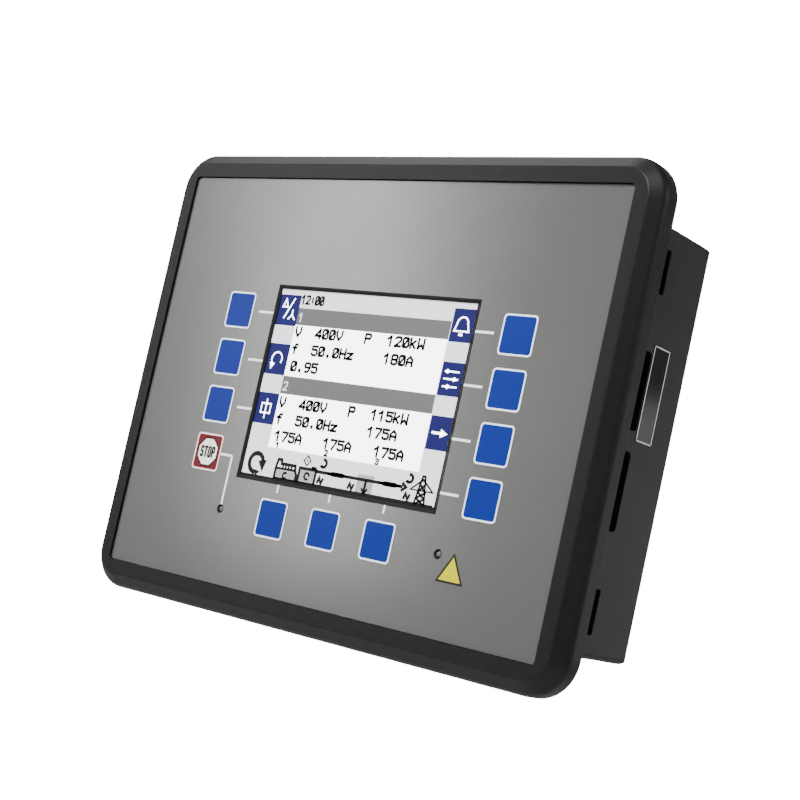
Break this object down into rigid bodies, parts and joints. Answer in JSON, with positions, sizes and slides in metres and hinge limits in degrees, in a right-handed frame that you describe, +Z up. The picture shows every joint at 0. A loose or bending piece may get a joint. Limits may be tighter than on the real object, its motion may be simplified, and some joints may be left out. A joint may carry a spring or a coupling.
{
  "type": "remote alarm control panel",
  "caption": "Flush-mounted remote alarm panel: moulded black bezel, grey membrane keypad with display and lamps, and a rear housing with side ports.",
  "frame": {"origin": "centre of the seat plane, where the rear face of the bezel's flange meets the door", "axes": "+X to the right seen from the front, +Y into the door and towards the housing's rear, +Z up"},
  "size_m": [0.282, 0.0723, 0.217],
  "materials": {
    "bezel": "satin black moulding with a fine texture",
    "housing": "satin black moulding with a fine texture",
    "gasket": "soft closed-cell foam rubber",
    "insert": "turned",
    "overlay": "finely textured film, printed from behind",
    "window": "clear pane, black printed border",
    "sheet_metal": "zinc plated sheet",
    "display_glass": "laminated display glass",
    "white_moulding": "white moulding",
    "screw": "zinc plated",
    "dark_screw": "black zinc plated",
    "circuit_board": "green solder mask on glass fibre laminate",
    "lamp": "clear lens, unlit",
    "black_moulding": "moulded",
    "plunger": "pale moulded",
    "connector_shell": "tin plated shell",
    "terminal": "green moulding",
    "chip": "moulded packages",
    "capacitor": "aluminium cans",
    "ferrite": "sintered ferrite and wound wire",
    "label": "black film label with a pale outline, bare"
  },
  "bodies": {
    "panel": {"front_bezel": "bezel", "flange_gasket": "gasket", "nut_inserts": "insert", "front_overlay": "overlay", "display_window": "window", "lcd_seal": "gasket", "lcd_frame": "sheet_metal", "lcd_glass": "display_glass", "lcd_backlight": "white_moulding", "lcd_screws": "screw", "keypad_board": "circuit_board", "keypad_screws": "screw", "stop_lamp": "lamp", "alarm_lamp": "lamp", "key_switch_left_1": "black_moulding", "key_switch_left_2": "black_moulding", "key_switch_left_3": "black_moulding", "key_switch_stop": "black_moulding", "key_switch_right_1": "black_moulding", "key_switch_right_2": "black_moulding", "key_switch_right_3": "black_moulding", "key_switch_right_4": "black_moulding", "key_switch_lower_1": "black_moulding", "key_switch_lower_2": "black_moulding", "key_switch_lower_3": "black_moulding", "board_spacers": "insert", "main_board": "circuit_board", "board_screws": "screw", "link_header": "black_moulding", "link_socket": "black_moulding", "data_socket_upper": "connector_shell", "data_socket_lower": "connector_shell", "socket_core_upper": "black_moulding", "socket_core_lower": "black_moulding", "jack_nuts": "screw", "terminal_header_upper": "terminal", "terminal_header_lower": "terminal", "terminal_plug_upper": "terminal", "terminal_plug_lower": "terminal", "terminal_screws": "screw", "board_chips": "chip", "capacitors": "capacitor", "power_choke": "ferrite", "rear_housing": "housing", "housing_screws": "dark_screw", "side_label": "label"},
    "plunger_left_1": {"key_plunger_left_1": "plunger"},
    "plunger_left_2": {"key_plunger_left_2": "plunger"},
    "plunger_left_3": {"key_plunger_left_3": "plunger"},
    "plunger_stop": {"key_plunger_stop": "plunger"},
    "plunger_right_1": {"key_plunger_right_1": "plunger"},
    "plunger_right_2": {"key_plunger_right_2": "plunger"},
    "plunger_right_3": {"key_plunger_right_3": "plunger"},
    "plunger_right_4": {"key_plunger_right_4": "plunger"},
    "plunger_lower_1": {"key_plunger_lower_1": "plunger"},
    "plunger_lower_2": {"key_plunger_lower_2": "plunger"},
    "plunger_lower_3": {"key_plunger_lower_3": "plunger"}
  },
  "joints": [
    {"name": "key_left_1_press", "type": "slide", "parent": "panel", "child": "plunger_left_1", "axis": [0, 1, 0], "range_m": [0, 0.00025], "stiffness_N_per_m": 6400},
    {"name": "key_left_2_press", "type": "slide", "parent": "panel", "child": "plunger_left_2", "axis": [0, 1, 0], "range_m": [0, 0.00025], "stiffness_N_per_m": 6400},
    {"name": "key_left_3_press", "type": "slide", "parent": "panel", "child": "plunger_left_3", "axis": [0, 1, 0], "range_m": [0, 0.00025], "stiffness_N_per_m": 6400},
    {"name": "key_stop_press", "type": "slide", "parent": "panel", "child": "plunger_stop", "axis": [0, 1, 0], "range_m": [0, 0.00025], "stiffness_N_per_m": 6400},
    {"name": "key_right_1_press", "type": "slide", "parent": "panel", "child": "plunger_right_1", "axis": [0, 1, 0], "range_m": [0, 0.00025], "stiffness_N_per_m": 6400},
    {"name": "key_right_2_press", "type": "slide", "parent": "panel", "child": "plunger_right_2", "axis": [0, 1, 0], "range_m": [0, 0.00025], "stiffness_N_per_m": 6400},
    {"name": "key_right_3_press", "type": "slide", "parent": "panel", "child": "plunger_right_3", "axis": [0, 1, 0], "range_m": [0, 0.00025], "stiffness_N_per_m": 6400},
    {"name": "key_right_4_press", "type": "slide", "parent": "panel", "child": "plunger_right_4", "axis": [0, 1, 0], "range_m": [0, 0.00025], "stiffness_N_per_m": 6400},
    {"name": "key_lower_1_press", "type": "slide", "parent": "panel", "child": "plunger_lower_1", "axis": [0, 1, 0], "range_m": [0, 0.00025], "stiffness_N_per_m": 6400},
    {"name": "key_lower_2_press", "type": "slide", "parent": "panel", "child": "plunger_lower_2", "axis": [0, 1, 0], "range_m": [0, 0.00025], "stiffness_N_per_m": 6400},
    {"name": "key_lower_3_press", "type": "slide", "parent": "panel", "child": "plunger_lower_3", "axis": [0, 1, 0], "range_m": [0, 0.00025], "stiffness_N_per_m": 6400}
  ]
}
